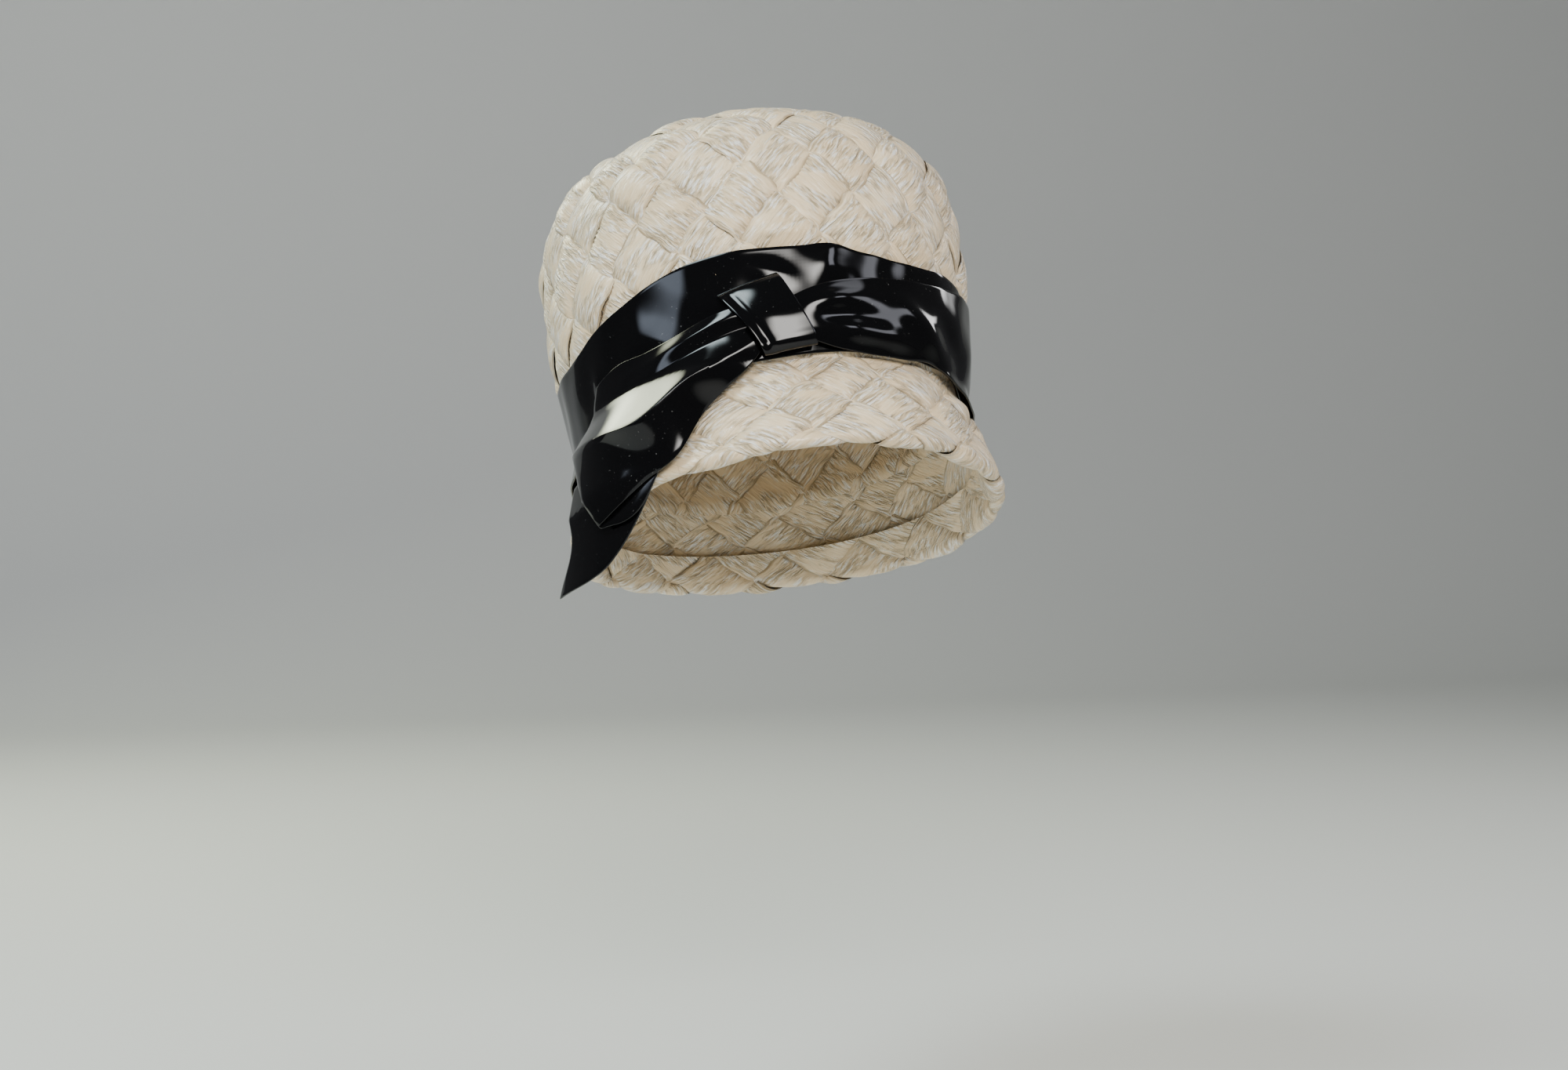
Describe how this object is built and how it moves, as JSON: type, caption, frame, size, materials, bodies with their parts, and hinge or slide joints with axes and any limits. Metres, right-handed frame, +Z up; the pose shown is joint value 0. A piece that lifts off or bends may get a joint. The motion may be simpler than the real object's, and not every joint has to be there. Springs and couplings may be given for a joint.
{
  "type": "woven straw hat with ribbon bow",
  "caption": "Ivory woven straw hat with a tall domed crown, a short turned-down brim and a black vinyl ribbon band tied in a one-sided bow.",
  "frame": {"origin": "centre of the headsize line, the oval where crown and brim meet and the head sits", "axes": "+Z straight up as the hat is worn, -Y towards the wearer's front, +X towards the wearer's left; the hat itself is tipped back by 21 degrees about X"},
  "size_m": [0.1929, 0.2291, 0.2068],
  "materials": {
    "straw": "ivory raffia-like straw in wide plaited strips, softly glossy",
    "vinyl": "black patent vinyl ribbon, high gloss"
  },
  "bodies": {
    "root": {"crown": "straw", "brim": "straw", "band": "vinyl", "knot": "vinyl", "bow_loop": "vinyl", "bow_tail": "vinyl"}
  },
  "joints": []
}
